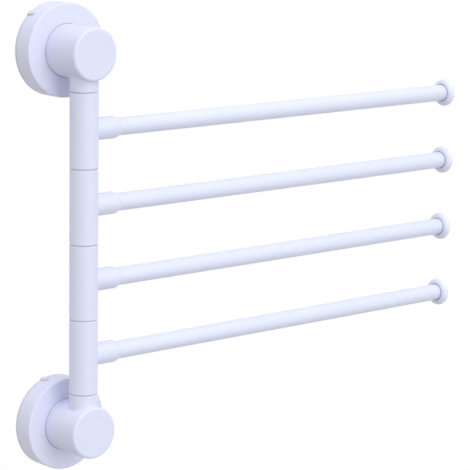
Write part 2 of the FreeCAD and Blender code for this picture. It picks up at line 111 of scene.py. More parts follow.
HUB_LEVELS = {side: middle(f"{side}_lock_ring").z for side in BASES}


# What a user would change


def measure(name, description, default):
    return FloatProperty(
        name=name, description=description, default=default, unit="LENGTH", precision=5,
    )


def paint(name, description, default):
    return FloatVectorProperty(
        name=name, description=description, default=default, size=3, subtype="COLOR", min=0, max=1,
    )


class TowelBarSizes(bpy.types.PropertyGroup):
    """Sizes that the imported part's boxes don't show."""

    post_edge: measure("Post edge", "Rounding of each end of a sleeve or neck", 0.0006)
    socket_radius: measure("Socket radius", "Outside of the socket that holds a bar", 0.00785)
    socket_taper: measure("Socket taper", "Length of the cone at the socket's mouth", 0.0032)
    socket_lip: measure("Socket lip", "Wall left at the socket's mouth", 0.0004)
    socket_root: measure("Socket root", "Fillet where the socket leaves the sleeve", 0.0006)
    bar_wall: measure("Bar wall", "Wall of the bar's tube", 0.0008)
    cap_outer_edge: measure("Cap outer edge", "Rounding of the end cap's outer rim", 0.0026)
    cap_inner_edge: measure("Cap inner edge", "Rounding of the end cap's rim towards the bar", 0.003)
    cap_thickness: measure("Cap thickness", "Thickness of the end cap's flange", 0.0057)
    cap_recess_gap: measure(
        "Cap recess gap", "Open ring round the bar's end in the cap's recess", 0.00045,
    )
    hub_wall: measure("Hub wall", "Wall of the hub's barrel", 0.0024)
    hub_edge: measure("Hub edge", "Rounding of the hub's front rim", 0.0019)
    hub_saddle: measure("Hub saddle", "Fillet where the neck leaves the hub's barrel", 0.0006)
    ring_edge: measure("Ring edge", "Rounding of the lock ring's front rim", 0.001)
    ring_gap: measure("Ring gap", "Fine gap between a hub and its lock ring", 0.00018)
    ring_ribs: IntProperty(
        name="Ring ribs", description="Stiffening ribs inside a lock ring", default=8, min=3,
    )
    cup_rim: measure("Cup rim", "Thickness of the suction cup's rim", 0.0016)
    tab_width: measure("Tab width", "Width of the peel tab", 0.0035)
    tab_thickness: measure("Tab thickness", "Thickness of the peel tab", 0.0008)
    tab_length: measure("Tab length", "From the wall to the free end of the peel tab", 0.0062)
    tab_gap: measure("Tab gap", "Gap between the peel tab and the lock ring under it", 0.0002)
    seal_grooves: IntProperty(
        name="Seal grooves", description="Fine grooves in the cup's sealing band", default=3, min=0,
    )


class TowelBarFinish(bpy.types.PropertyGroup):
    """Colours of the finishes; the cap colour carries painted light, and the bush and cup colours some
    painted shade.
    """

    moulding: paint("Moulding", "Satin moulded plastic of hubs, rings and sleeves", (0.722, 0.75, 0.933))
    # Painted light: the end caps are the same satin plastic as the moulding, and this paler copy paints
    # extra light onto their inner faces
    cap: paint("Cap", "Satin plastic of the end caps, paler as painted light", (0.765, 0.795, 0.945))
    enamel: paint("Enamel", "Enamel on the bars", (0.718, 0.756, 0.93))
    # Partly painted shade: the bushes' own pale plastic, set greyer than the moulding so that their
    # flanges darken the seams between sleeves into shade lines
    bush: paint("Bush", "Plastic of bushes and washer", (0.68, 0.7, 0.83))
    # Partly painted shade: the rubber's own tone, set darker than the moulding so that the cup's rim
    # behind each lock ring shows the shade that lies there
    cup: paint("Cup", "Soft rubber of the suction cups", (0.675, 0.695, 0.82))
    core: paint("Core", "Glass-filled nylon inside the bases", (0.56, 0.56, 0.6))
    steel: paint("Steel", "Bright steel of rod, plugs and screws", (0.6, 0.6, 0.61))


class TowelBarStudio(bpy.types.PropertyGroup):
    """Floor, lamps and surroundings."""

    floor_drop: FloatProperty(
        name="Floor drop", description="How far the floor lies under the lower hub",
        default=0.55, unit="LENGTH",
    )
    key: FloatProperty(
        name="Key", description="Power of the lamp above and in front, in watts", default=66.2,
    )
    fill: FloatProperty(
        name="Fill", description="Power of the low lamp in front, in watts", default=14.7,
    )
    ambient: FloatProperty(
        name="Ambient", description="Strength of the light from all round", default=0.625,
    )
    slope: FloatVectorProperty(
        name="Slope", description="How the light from all round grows towards +X, +Y and +Z",
        default=(-0.17, -0.08, 0.44), size=3,
    )


# Mesh tools: pieces are made about local +Z, with local +X across, and carried into place at the end


def placed(base, along, across):
    """Matrix that carries local +Z to along and local +X to across."""
    turn = Matrix((across, along.cross(across), along)).transposed()
    return Matrix.Translation(base) @ turn.to_4x4()


def rounded(corners, closed):
    """Outline points from corners (radius, along, rounding); each arc has a support point either side."""
    count = len(corners)
    spots = [Vector(corner[:2]) for corner in corners]
    before = [(spots[i - 1] - spots[i]) for i in range(count)]
    after = [(spots[(i + 1) % count] - spots[i]) for i in range(count)]
    cuts = []
    for i, corner in enumerate(corners):
        ends = not closed and i in (0, count - 1)
        if ends or not corner[2]:
            cuts.append(0.0)
        else:
            cuts.append(corner[2] / math.tan(before[i].angle(after[i]) / 2))

    points = []
    for i, spot in enumerate(spots):
        if not cuts[i]:
            points.append(spot)
            continue
        rounding = corners[i][2]
        to_last, to_next = before[i].normalized(), after[i].normalized()
        free_last = before[i].length - cuts[i] - cuts[i - 1]
        free_next = after[i].length - cuts[i] - cuts[(i + 1) % count]
        centre = spot + (to_last + to_next).normalized() * math.hypot(cuts[i], rounding)
        start = spot + to_last * cuts[i] - centre
        end = spot + to_next * cuts[i] - centre
        turn = start.angle_signed(end)
        steps = max(2, round(ARC_STEPS * abs(turn) / (math.pi / 2)))
        points.append(centre + start + to_last * min(SUPPORT, free_last / 3))
        for step in range(steps + 1):
            points.append(centre + Matrix.Rotation(-turn * step / steps, 2) @ start)
        points.append(centre + end + to_next * min(SUPPORT, free_next / 3))
    return [(point.x, point.y) for point in points]


def ring_row(radius, along, angles):
    return [Vector((radius * math.cos(a), radius * math.sin(a), along)) for a in angles]


def skin(mesh, rows, wrap=True):
    """Quads between each row and the next; wrap joins the last point of a row to its first."""
    made = [[mesh.verts.new(point) for point in row] for row in rows]
    for upper, lower in zip(made, made[1:]):
        count = len(upper)
        for i in range(count if wrap else count - 1):
            j = (i + 1) % count
            mesh.faces.new((upper[i], upper[j], lower[j], lower[i]))


def evenly(start, end, count):
    """count + 1 values from start to end."""
    return [start + (end - start) * step / count for step in range(count + 1)]


def turned(mesh, outline, angles=None):
    """Skin an outline of (radius, along) about local +Z; nothing joins two points on the axis."""
    angles = angles or evenly(0, FULL, ROUND)[:-1]
    for first, second in zip(outline, outline[1:]):
        if first[0] or second[0]:
            skin(mesh, [ring_row(*first, angles), ring_row(*second, angles)])


def turned_piece(name, corners, place, material):
    """Closed turned piece; an outline that starts on the axis ends there, and any other is a loop."""
    loop = corners[0][0] > 0
    outline = rounded(corners, loop)
    mesh = bmesh.new()
    turned(mesh, outline + outline[:1] if loop else outline)
    return finished(name, mesh, place, material)


def finished(name, mesh, place, material):
    """Object from a local mesh: merged, carried into place, faces out, smooth but for sharp edges."""
    bmesh.ops.remove_doubles(mesh, verts=mesh.verts, dist=MERGE)
    bmesh.ops.transform(mesh, matrix=place, verts=mesh.verts)
    bmesh.ops.recalc_face_normals(mesh, faces=mesh.faces)
    if any(not edge.is_manifold for edge in mesh.edges):
        raise RuntimeError(f"{name} isn't closed")
    data = bpy.data.meshes.new(name)
    mesh.to_mesh(data)
    mesh.free()
    data.shade_smooth()
    data.set_sharp_from_angle(angle=SHARP)
    data.materials.append(material)
    piece = bpy.data.objects.new(name, data)
    bpy.context.scene.collection.objects.link(piece)
    return piece


def joined(piece, other):
    """One closed piece from two that overlap; the second object is then deleted."""
    modifier = piece.modifiers.new("Boolean", "BOOLEAN")
    modifier.operation = "UNION"
    modifier.solver = "EXACT"
    modifier.object = other
    evaluated = piece.evaluated_get(bpy.context.evaluated_depsgraph_get())
    data = bpy.data.meshes.new_from_object(evaluated)
    piece.modifiers.clear()
    old, piece.data = piece.data, data
    bpy.data.meshes.remove(old)
    bpy.data.objects.remove(other)
    data.set_sharp_from_angle(angle=SHARP)
    return piece


def slab(name, outline, thickness, place, material):
    """Flat piece with a given outline, whose faces have rounded edges; thickness is a vector across it."""
    edge = 0.00025
    level_limit = 1e-9  # an edge along a face leans less than this towards the thickness
    mesh = bmesh.new()
    rows = [[point + thickness * part for point in outline] for part in (0, 1)]
    skin(mesh, rows)
    for row in rows:
        mesh.faces.new([mesh.verts.new(point) for point in row])
    bmesh.ops.remove_doubles(mesh, verts=mesh.verts, dist=MERGE)
    level = []
    for side in mesh.edges:
        first, second = (vert.co for vert in side.verts)
        if abs((first - second).dot(thickness)) < level_limit:
            level.append(side)
    bmesh.ops.bevel(mesh, geom=level, offset=edge, segments=3, profile=0.5, affect="EDGES")
    return finished(name, mesh, place, material)


def seat(piece, body, slot, *nodes):
    """Let a finished piece ride on its body and stand for its nodes."""
    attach(piece, body)
    if nodes:
        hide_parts(*nodes)


# Tee: a round branch that leaves a round barrel through a rolling-ball fillet

PATCH_ROWS = 20  # rows of the barrel's patch, from the fillet to the patch's border
PATCH_STEPS = 24  # steps of the border above and below the branch
BACK_STEPS = 72  # steps round the rest of the barrel
BRANCH_PARTS = (0, 0.06, 0.5, 1)  # rows of the branch's wall, as parts of the way to its outline


class Tee:
    """Barrel about local +Z and a branch along local +X, which cross at the origin.

    Places on the barrel are (angle from the branch, run), where the run goes up the wall from the
    crossing and, past the top of the wall, on round the top edge's rounding.
    """

    def __init__(self, barrel, branch, fillet, wall_top, top_edge):
        self.barrel = barrel
        self.branch = branch
        self.fillet = fillet
        self.wall_top = wall_top
        self.top_edge = top_edge

    def on_barrel(self, angle, run):
        past = run - self.wall_top
        if past <= 0:
            radius, along = self.barrel, run
        else:
            bend = past / self.top_edge
            radius = self.barrel - self.top_edge * (1 - math.cos(bend))
            along = self.wall_top + self.top_edge * math.sin(bend)
        return Vector((radius * math.cos(angle), radius * math.sin(angle), along))

    def ball(self, turn):
        """Centre of the ball that touches branch and barrel, and where it touches the barrel."""
        reach = self.branch + self.fillet
        side, along = reach * math.cos(turn), reach * math.sin(turn)
        past = along - self.wall_top
        if past <= 0:
            out, lean = self.barrel + self.fillet, 0.0
            run = along
        else:
            offset = self.top_edge + self.fillet
            lean = math.asin(past / offset)
            out = self.barrel - self.top_edge + offset * math.cos(lean)
            run = self.wall_top + self.top_edge * lean
        height = math.sqrt(out**2 - side**2)
        return Vector((height, side, along)), math.atan2(side, height), run

    def fillet_arc(self, turn, steps):
        """Points of the fillet from the branch's wall to the barrel's."""
        centre, angle, run = self.ball(turn)
        on_branch = Vector((centre.x, self.branch * math.cos(turn), self.branch * math.sin(turn)))
        first = on_branch - centre
        last = self.on_barrel(angle, run) - centre
        spread = first.angle(last)
        points = []
        for step in range(steps + 1):
            part = step / steps
            share = math.sin((1 - part) * spread) / math.sin(spread)
            other = math.sin(part * spread) / math.sin(spread)
            points.append(centre + first * share + last * other)
        return points

    def build(self, low, high, width, side_runs, branch_outline, rest):
        """Closed mesh. The patch round the branch spans angles -width to width and runs low to high.

        side_runs are the runs of its sides' points, branch_outline leads on from its fillet, and rest
        leads from its top round to its foot. Both are lists of (radius, along).
        """
        across = evenly(-width, width, PATCH_STEPS)
        beyond = evenly(width, FULL - width, BACK_STEPS)
        border = [(angle, low) for angle in across[:-1]]
        border += [(width, run) for run in side_runs[:-1]]
        border += [(angle, high) for angle in reversed(across[1:])]
        border += [(-width, run) for run in reversed(side_runs[1:])]
        turns = [math.atan2(run, angle * self.barrel) for angle, run in border]

        mesh = bmesh.new()
        arcs = [self.fillet_arc(turn, ARC_STEPS) for turn in turns]
        skin(mesh, [list(row) for row in zip(*arcs)])

        spots = [self.ball(turn)[1:] for turn in turns]
        rows = []
        for part in evenly(0, 1, PATCH_ROWS):
            rows.append([
                self.on_barrel(spot[0] + (end[0] - spot[0]) * part, spot[1] + (end[1] - spot[1]) * part)
                for spot, end in zip(spots, border)
            ])
        skin(mesh, rows)

        foot = branch_outline[0][1]
        heights = [self.ball(turn)[0].x for turn in turns]
        ring = [(self.branch * math.cos(turn), self.branch * math.sin(turn)) for turn in turns]
        skin(mesh, [
            [Vector((height + (foot - height) * part, y, z)) for height, (y, z) in zip(heights, ring)]
            for part in BRANCH_PARTS
        ])
        for first, second in zip(branch_outline, branch_outline[1:]):
            skin(mesh, [
                [Vector((along, radius * math.cos(t), radius * math.sin(t))) for t in turns]
                for radius, along in (first, second)
            ])

        skin(mesh, [[self.on_barrel(angle, run) for angle in beyond] for run in side_runs], wrap=False)
        turned(mesh, rest, across[:-1] + beyond[:-1])
        return mesh


# Geometry Nodes for what repeats or follows a rule


def linked(tree, kind, inputs=(), **settings):
    """New node with its settings; inputs are (socket, value or output)."""
    node = tree.nodes.new(kind)
    for name, value in settings.items():
        setattr(node, name, value)
    for socket, value in inputs:
        if isinstance(value, bpy.types.NodeSocket):
            tree.links.new(value, node.inputs[socket])
        else:
            node.inputs[socket].default_value = value
    return node


def computed(tree, operation, first, second):
    """Output of a Math node on two values."""
    return linked(tree, "ShaderNodeMath", [(0, first), (1, second)], operation=operation).outputs[0]


def new_tree(name, sizes):
    """Geometry tree with named inputs, an output and its input node."""
    tree = bpy.data.node_groups.new(name, "GeometryNodeTree")
    for label, kind in sizes.items():
        tree.interface.new_socket(label, in_out="INPUT", socket_type=kind)
    tree.interface.new_socket("Geometry", in_out="OUTPUT", socket_type="NodeSocketGeometry")
    return tree, tree.nodes.new("NodeGroupInput").outputs


def close_tree(tree, geometry, material):
    """Realize Instances, Set Material and the output."""
    real = linked(tree, "GeometryNodeRealizeInstances", [(0, geometry)])
    dressed = linked(
        tree, "GeometryNodeSetMaterial", [("Geometry", real.outputs[0]), ("Material", material)]
    )
    linked(tree, "NodeGroupOutput", [(0, dressed.outputs[0])])
    return tree


def swept(tree, path, width, height, edge, caps):
    """Sweep along a path of a rectangle whose corners are rounded in 3 facets; caps closes its ends."""
    section = linked(
        tree, "GeometryNodeCurvePrimitiveQuadrilateral", [("Width", width), ("Height", height)]
    )
    soft = linked(
        tree, "GeometryNodeFilletCurve",
        [("Curve", section.outputs[0]), ("Count", 3), ("Limit Radius", True), ("Radius", edge)],
        mode="POLY",
    )
    solid = linked(
        tree, "GeometryNodeCurveToMesh",
        [("Curve", path.outputs[0]), ("Profile Curve", soft.outputs[0]), ("Fill Caps", caps)],
    )
    return solid.outputs[0]


def tube_tree():
    """Turned tube about local +Z, centred on the origin, with rounded edges."""
    tree, given = new_tree("Turned tube", {
        "Radius": "NodeSocketFloat", "Wall": "NodeSocketFloat", "Length": "NodeSocketFloat",
        "Edge": "NodeSocketFloat", "Facets": "NodeSocketInt", "Material": "NodeSocketMaterial",
    })
    half_wall = computed(tree, "MULTIPLY", given["Wall"], 0.5)
    mid = computed(tree, "SUBTRACT", given["Radius"], half_wall)
    path = linked(
        tree, "GeometryNodeCurvePrimitiveCircle", [("Resolution", given["Facets"]), ("Radius", mid)]
    )
    tube = swept(tree, path, given["Wall"], given["Length"], given["Edge"], False)
    return close_tree(tree, tube, given["Material"])


def tube_values(radius, wall, length, edge, material):
    """Inputs of the tube tree."""
    return {
        "Radius": radius, "Wall": wall, "Length": length,
        "Edge": edge, "Facets": ROUND, "Material": material,
    }


def ribs_tree():
    """Radial ribs about local +Z, spaced evenly, half a space off local +X."""
    tree, given = new_tree("Radial ribs", {
        "Count": "NodeSocketInt", "Inner": "NodeSocketFloat", "Outer": "NodeSocketFloat",
        "Thickness": "NodeSocketFloat", "Foot": "NodeSocketFloat", "Top": "NodeSocketFloat",
        "Edge": "NodeSocketFloat", "Material": "NodeSocketMaterial",
    })
    foot = linked(tree, "ShaderNodeCombineXYZ", [("Z", given["Foot"])])
    top = linked(tree, "ShaderNodeCombineXYZ", [("Z", given["Top"])])
    path = linked(
        tree, "GeometryNodeCurvePrimitiveLine", [("Start", foot.outputs[0]), ("End", top.outputs[0])]
    )
    span = computed(tree, "SUBTRACT", given["Outer"], given["Inner"])
    rib = swept(tree, path, given["Thickness"], span, given["Edge"], True)
    mid = computed(tree, "MULTIPLY", computed(tree, "ADD", given["Outer"], given["Inner"]), 0.5)
    shift = linked(tree, "ShaderNodeCombineXYZ", [("Y", mid)])
    out = linked(tree, "GeometryNodeTransform", [("Geometry", rib), ("Translation", shift.outputs[0])])
    spots = linked(tree, "GeometryNodePoints", [("Count", given["Count"])])
    step = computed(tree, "DIVIDE", FULL, given["Count"])
    place = computed(tree, "ADD", linked(tree, "GeometryNodeInputIndex").outputs[0], 0.5)
    angle = linked(tree, "ShaderNodeCombineXYZ", [("Z", computed(tree, "MULTIPLY", place, step))])
    spin = linked(tree, "FunctionNodeEulerToRotation", [(0, angle.outputs[0])])
    copies = linked(
        tree, "GeometryNodeInstanceOnPoints",
        [("Points", spots.outputs[0]), ("Instance", out.outputs[0]), ("Rotation", spin.outputs[0])],
    )
    return close_tree(tree, copies.outputs[0], given["Material"])


def grown(name, tree, values, place):
    """Plain mesh object from a tree, evaluated once with its inputs set and carried into place."""
    holder = bpy.data.objects.new(name, bpy.data.meshes.new(name))
    bpy.context.scene.collection.objects.link(holder)
    modifier = holder.modifiers.new("Build", "NODES")
    modifier.node_group = tree
    for item in tree.interface.items_tree:
        if item.in_out == "INPUT":
            modifier[item.identifier] = values[item.name]
    evaluated = holder.evaluated_get(bpy.context.evaluated_depsgraph_get())
    data = bpy.data.meshes.new_from_object(evaluated)
    bpy.data.objects.remove(holder)
    if not data.polygons:
        raise RuntimeError(f"{name} came out empty")
    mesh = bmesh.new()
    mesh.from_mesh(data)
    bpy.data.meshes.remove(data)
    return finished(name, mesh, place, values["Material"])


# Materials: Object coordinates only


def noise(tree, place, scale, detail):
    """Output of a Noise Texture node."""
    texture = linked(
        tree, "ShaderNodeTexNoise", [("Vector", place), ("Scale", scale), ("Detail", detail)]
    )
    return texture.outputs["Fac"]


def blended(tree, factor, first, second):
    """Output of a Mix node on two colours, which are its sockets 6 and 7."""
    mix = linked(
        tree, "ShaderNodeMix", [("Factor", factor), (6, first), (7, second)], data_type="RGBA"
    )
    return mix.outputs[2]


def surface(name, colour, roughness, grain, **shader_values):
    """Material whose colour drifts a little, whose gloss varies and whose skin has a fine grain.

    roughness is (least, most); grain is (texture scale, bump strength).
    """
    deep, pale = 0.975, 1.015  # how far the colour drifts either way
    relief = 0.0002
    if name in bpy.data.materials:
        return bpy.data.materials[name]
    material = bpy.data.materials.new(name)
    material.use_nodes = True
    tree = material.node_tree
    shader = tree.nodes["Principled BSDF"]
    for socket, value in shader_values.items():
        shader.inputs[socket].default_value = value

    place = linked(tree, "ShaderNodeTexCoord").outputs["Object"]
    drift = noise(tree, place, scale=22.0, detail=3.0)
    shades = [(*(min(1.0, share * part) for part in colour), 1.0) for share in (deep, pale)]
    tree.links.new(blended(tree, drift, *shades), shader.inputs["Base Color"])

    wear = noise(tree, place, scale=90.0, detail=4.0)
    gloss = linked(
        tree, "ShaderNodeMapRange",
        [("Value", wear), ("From Min", 0.3), ("From Max", 0.7),
         ("To Min", roughness[0]), ("To Max", roughness[1])],
    )
    tree.links.new(gloss.outputs[0], shader.inputs["Roughness"])

    texture_scale, strength = grain
    height = noise(tree, place, scale=texture_scale, detail=2.0)
    bump = linked(
        tree, "ShaderNodeBump", [("Strength", strength), ("Distance", relief), ("Height", height)]
    )
    tree.links.new(bump.outputs[0], shader.inputs["Normal"])
    return material


SATIN = {"roughness": (0.42, 0.52), "grain": (1400.0, 0.05)}


def moulded_plastic(finish):
    return surface("Satin moulded plastic", finish.moulding, **SATIN)


# Paler copy of the satin moulded plastic, as painted light on the end caps
def cap_plastic_painted_light(finish):
    return surface("Satin cap plastic with painted light", finish.cap, **SATIN)


def enamelled_tube(finish):
    return surface("Enamelled tube", finish.enamel, roughness=(0.38, 0.46), grain=(420.0, 0.03))


# Greyer than the moulding: real bush plastic with painted shade for the seams between sleeves
def bush_plastic_painted_shade(finish):
    return surface("Bush plastic with painted shade", finish.bush, roughness=(0.38, 0.5), grain=(1200.0, 0.06))


# Darker than the moulding: real rubber tone with painted shade on the rim behind each lock ring
def cup_rubber(finish):
    soft = {
        "Subsurface Weight": 0.25,
        "Subsurface Radius": (1, 1, 1),
        "Subsurface Scale": 0.002,
        "IOR": 1.42,
    }
    return surface("Soft cup rubber with painted shade", finish.cup, roughness=(0.36, 0.5), grain=(800.0, 0.05), **soft)


def core_nylon(finish):
    return surface("Glass-filled nylon", finish.core, roughness=(0.5, 0.65), grain=(2200.0, 0.2))


def bright_steel(finish):
    return surface(
        "Bright steel", finish.steel, roughness=(0.22, 0.34), grain=(1500.0, 0.08), Metallic=1.0,
    )


# Pieces


def hub_place(side, along=0.0):
    """Frame on a hub's axis: +Z to the room and +X along its neck."""
    neck = UP if side == "lower" else -UP
    return placed(Vector((0, -along, HUB_LEVELS[side])), TO_ROOM, neck)


def arm_place(arm, along=0.0):
    """Frame on an arm's bar, a distance out from the post axis: +Z out along the bar."""
    return placed(Vector((along, POST_Y, middle(f"{arm}_bar").z)), ALONG_ARM, UP)


def post_place(level):
    """Frame on the post axis: +Z up and +X along the arms."""
    return placed(Vector((0, POST_Y, level)), UP, ALONG_ARM)


class TOWELBAR_OT_sleeves(bpy.types.Operator):
    """Make the four sleeves of the post, each with its bar's socket"""

    bl_idname = "towelbar.sleeves"
    bl_label = "Arm sleeves"

    def execute(self, context):
        sizes, finish = context.scene.towel_bar_sizes, context.scene.towel_bar_finish
        half = SLEEVE_LENGTH / 2
        patch, width = 0.013, math.radians(75)  # the grid round the socket: half height, half angle
        bush_floor = half - BUSH_LENGTH
        step = 0.0006  # how much narrower the sleeve is between its bushes
        narrow = BUSH_RADIUS - step
        rest = rounded([
            (POST_RADIUS, patch, 0),
            (POST_RADIUS, half, sizes.post_edge),
            (BUSH_RADIUS, half, BROKEN),
            (BUSH_RADIUS, bush_floor, 0),
            (narrow, bush_floor, 0),
            (narrow, -bush_floor, 0),
            (BUSH_RADIUS, -bush_floor, 0),
            (BUSH_RADIUS, -half, BROKEN),
            (POST_RADIUS, -half, sizes.post_edge),
            (POST_RADIUS, -patch, 0),
        ], closed=False)
        mouth = BAR_RADIUS + sizes.socket_lip
        root = 0.0115  # past the fillet, where the socket's plain wall begins
        taper_edge, lip_edge = 0.0006, 0.00015
        branch = rounded([
            (sizes.socket_radius, root, 0),
            (sizes.socket_radius, SOCKET_MOUTH - sizes.socket_taper, taper_edge),
            (mouth, SOCKET_MOUTH, lip_edge),
            (BAR_RADIUS, SOCKET_MOUTH, 0),
            (BAR_RADIUS, BAR_START, 0),
            (0, BAR_START, 0),
        ], closed=False)
        shape = Tee(POST_RADIUS, sizes.socket_radius, sizes.socket_root, half, sizes.post_edge)
        runs = evenly(-patch, patch, PATCH_STEPS)
        for arm in ARMS:
            mesh = shape.build(-patch, patch, width, runs, branch, rest)
            place = post_place(middle(f"{arm}_sleeve").z)
            piece = finished(f"{arm}_post_sleeve", mesh, place, moulded_plastic(finish))
            seat(piece, arm, "moulded_white", f"{arm}_sleeve")
        return {"FINISHED"}


class TOWELBAR_OT_bars(bpy.types.Operator):
    """Make the four enamelled bars"""

    bl_idname = "towelbar.bars"
    bl_label = "Bars"

    def execute(self, context):
        sizes, finish = context.scene.towel_bar_sizes, context.scene.towel_bar_finish
        cut_edge = 0.00025
        tree = tube_tree()
        values = tube_values(
            BAR_RADIUS, sizes.bar_wall, BAR_END - BAR_START, cut_edge, enamelled_tube(finish),
        )
        for arm in ARMS:
            piece = grown(f"{arm}_tube", tree, values, arm_place(arm, (BAR_START + BAR_END) / 2))
            seat(piece, arm, "bar_enamel", f"{arm}_bar")
        return {"FINISHED"}


class TOWELBAR_OT_end_caps(bpy.types.Operator):
    """Make the round caps on the bars' ends"""

    bl_idname = "towelbar.end_caps"
    bl_label = "End caps"

    def execute(self, context):
        sizes, finish = context.scene.towel_bar_sizes, context.scene.towel_bar_finish
        outer = CAP_HIGH.x
        flange = outer - sizes.cap_thickness
        recess = BAR_RADIUS + sizes.cap_recess_gap
        shank = BAR_RADIUS - sizes.bar_wall - PRESS_FIT
        shank_wall, face_wall = 0.0015, 0.002
        lead_edge, hollow_edge = 0.0004, 0.0005
        core = shank - shank_wall
        corners = [
            (0, outer, 0),
            (CAP_RADIUS, outer, sizes.cap_outer_edge),
            (CAP_RADIUS, flange, sizes.cap_inner_edge),
            (recess, flange, BROKEN),
            (recess, BAR_END, 0),
            (shank, BAR_END, 0),
            (shank, CAP_LOW.x, lead_edge),
            (core, CAP_LOW.x, BROKEN),
            (core, outer - face_wall, hollow_edge),
            (0, outer - face_wall, 0),
        ]
        for arm in ARMS:
            piece = turned_piece(f"{arm}_cap", corners, arm_place(arm), cap_plastic_painted_light(finish))
            seat(piece, arm, "moulded_white", f"{arm}_end_cap")
        return {"FINISHED"}


class TOWELBAR_OT_bushes(bpy.types.Operator):
    """Make the bushes, whose flanges lie in the post's seams, and the washer in the topmost seam"""

    bl_idname = "towelbar.bushes"
    bl_label = "Bushes and washer"

    def execute(self, context):
        material = bush_plastic_painted_shade(context.scene.towel_bar_finish)
        bore = ROD_RADIUS + RUNNING_FIT
        lead_edge = 0.0003
        corners = [
            (bore, 0, BROKEN),
            (FLANGE_RADIUS, 0, BROKEN),
            (FLANGE_RADIUS, FLANGE, BROKEN),
            (BUSH_RADIUS, FLANGE, 0),
            (BUSH_RADIUS, FLANGE + BUSH_LENGTH, lead_edge),
            (bore, FLANGE + BUSH_LENGTH, BROKEN),
        ]
        tree = tube_tree()
        plain = tube_values(BUSH_RADIUS, BUSH_RADIUS - bore, BUSH_LENGTH, BROKEN, material)
        for arm in ARMS:
            foot = post_place(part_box(f"{arm}_lower_bush")[0].z)
            piece = turned_piece(f"{arm}_foot_bush", corners, foot, material)
            seat(piece, arm, "bush_acetal", f"{arm}_lower_bush")
            node = f"{arm}_upper_bush"
            piece = grown(f"{arm}_head_bush", tree, plain, post_place(middle(node).z))
            seat(piece, arm, "bush_acetal", node)
        washer = tube_values(FLANGE_RADIUS, FLANGE_RADIUS - bore, FLANGE, BROKEN, material)
        piece = grown("seam_washer", tree, washer, post_place(middle("top_washer").z))
        seat(piece, "mount", "bush_acetal", "top_washer")
        return {"FINISHED"}


class TOWELBAR_OT_hubs(bpy.types.Operator):
    """Make the two hubs, each a closed barrel with the neck that carries the post"""

    bl_idname = "towelbar.hubs"
    bl_label = "Hubs"

    def execute(self, context):
        sizes, finish = context.scene.towel_bar_sizes, context.scene.towel_bar_finish
        crossing = -POST_Y
        front, rear = HUB_FRONT - crossing, HUB_REAR - crossing
        wall_top = front - sizes.hub_edge
        patch_low, width = -0.0165, math.radians(62)  # the grid round the neck: foot, half angle
        patch_high = wall_top + sizes.hub_edge * math.pi / 2
        wall_steps, rim_steps = 22, 8
        runs = evenly(patch_low, wall_top, wall_steps) + evenly(wall_top, patch_high, rim_steps)[1:]
        inside = HUB_RADIUS - sizes.hub_wall
        inner_edge = 0.001
        rest = rounded([
            (HUB_RADIUS - sizes.hub_edge, front, 0),
            (HUB_RADIUS - sizes.hub_edge - SUPPORT, front, 0),
            (0, front, 0),
            (0, front - sizes.hub_wall, 0),
            (inside, front - sizes.hub_wall, inner_edge),
            (inside, rear, 0),
            (HUB_RADIUS, rear, BROKEN),
            (HUB_RADIUS, patch_low, 0),
        ], closed=False)
        bore = ROD_RADIUS + PRESS_FIT
        root = 0.0205  # past the fillet, where the neck's plain wall begins
        branch = rounded([
            (POST_RADIUS, root, 0),
            (POST_RADIUS, NECK_END, sizes.post_edge),
            (bore, NECK_END, BROKEN),
            (bore, HUB_RADIUS, 0),
            (0, HUB_RADIUS, 0),
        ], closed=False)
        shape = Tee(HUB_RADIUS, POST_RADIUS, sizes.hub_saddle, wall_top, sizes.hub_edge)
        for side in BASES:
            mesh = shape.build(patch_low, patch_high, width, runs, branch, rest)
            place = hub_place(side, crossing)
            piece = finished(f"{side}_hub_shell", mesh, place, moulded_plastic(finish))
            seat(piece, "mount", "moulded_white", f"{side}_hub")
        return {"FINISHED"}


class TOWELBAR_OT_lock_rings(bpy.types.Operator):
    """Make the two lock rings, with their collar, press wall and ribs"""

    bl_idname = "towelbar.lock_rings"
    bl_label = "Lock rings"

    def execute(self, context):
        sizes, finish = context.scene.towel_bar_sizes, context.scene.towel_bar_finish
        wall, collar_wall, press_wall = 0.0022, 0.0024, 0.002
        collar_depth = 0.0065
        press_bore, press_back = 0.02625, 0.0037
        bore_edge, back_edge, root = 0.00025, 0.0003, 0.0004
        bore = HUB_RADIUS + sizes.ring_gap
        collar = bore + collar_wall
        collar_back = RING_FRONT - collar_depth
        under = RING_FRONT - wall
        corners = [
            (RING_RADIUS, RING_BACK, back_edge),
            (RING_RADIUS, RING_FRONT, sizes.ring_edge),
            (bore, RING_FRONT, bore_edge),
            (bore, collar_back, BROKEN),
            (collar, collar_back, BROKEN),
            (collar, under, root),
            (press_bore, under, root),
            (press_bore, press_back, BROKEN),
            (press_bore + press_wall, press_back, BROKEN),
            (press_bore + press_wall, under, root),
            (RING_RADIUS - wall, under, root),
            (RING_RADIUS - wall, RING_BACK, back_edge),
        ]
        rib_thickness, rib_foot = 0.0016, 0.0096
        sunk = 0.0004  # how far the ribs reach into the walls
        tree = ribs_tree()
        values = {
            "Count": sizes.ring_ribs, "Inner": collar - sunk, "Outer": RING_RADIUS - wall + sunk,
            "Thickness": rib_thickness, "Foot": rib_foot, "Top": under + sunk,
            "Edge": BROKEN, "Material": moulded_plastic(finish),
        }
        for side in BASES:
            piece = turned_piece(f"{side}_ring", corners, hub_place(side), moulded_plastic(finish))
            seat(piece, f"{side}_lock", "moulded_white", f"{side}_lock_ring")
            ribs = grown(f"{side}_ring_ribs", tree, values, hub_place(side))
            seat(ribs, f"{side}_lock", "moulded_white")
        return {"FINISHED"}


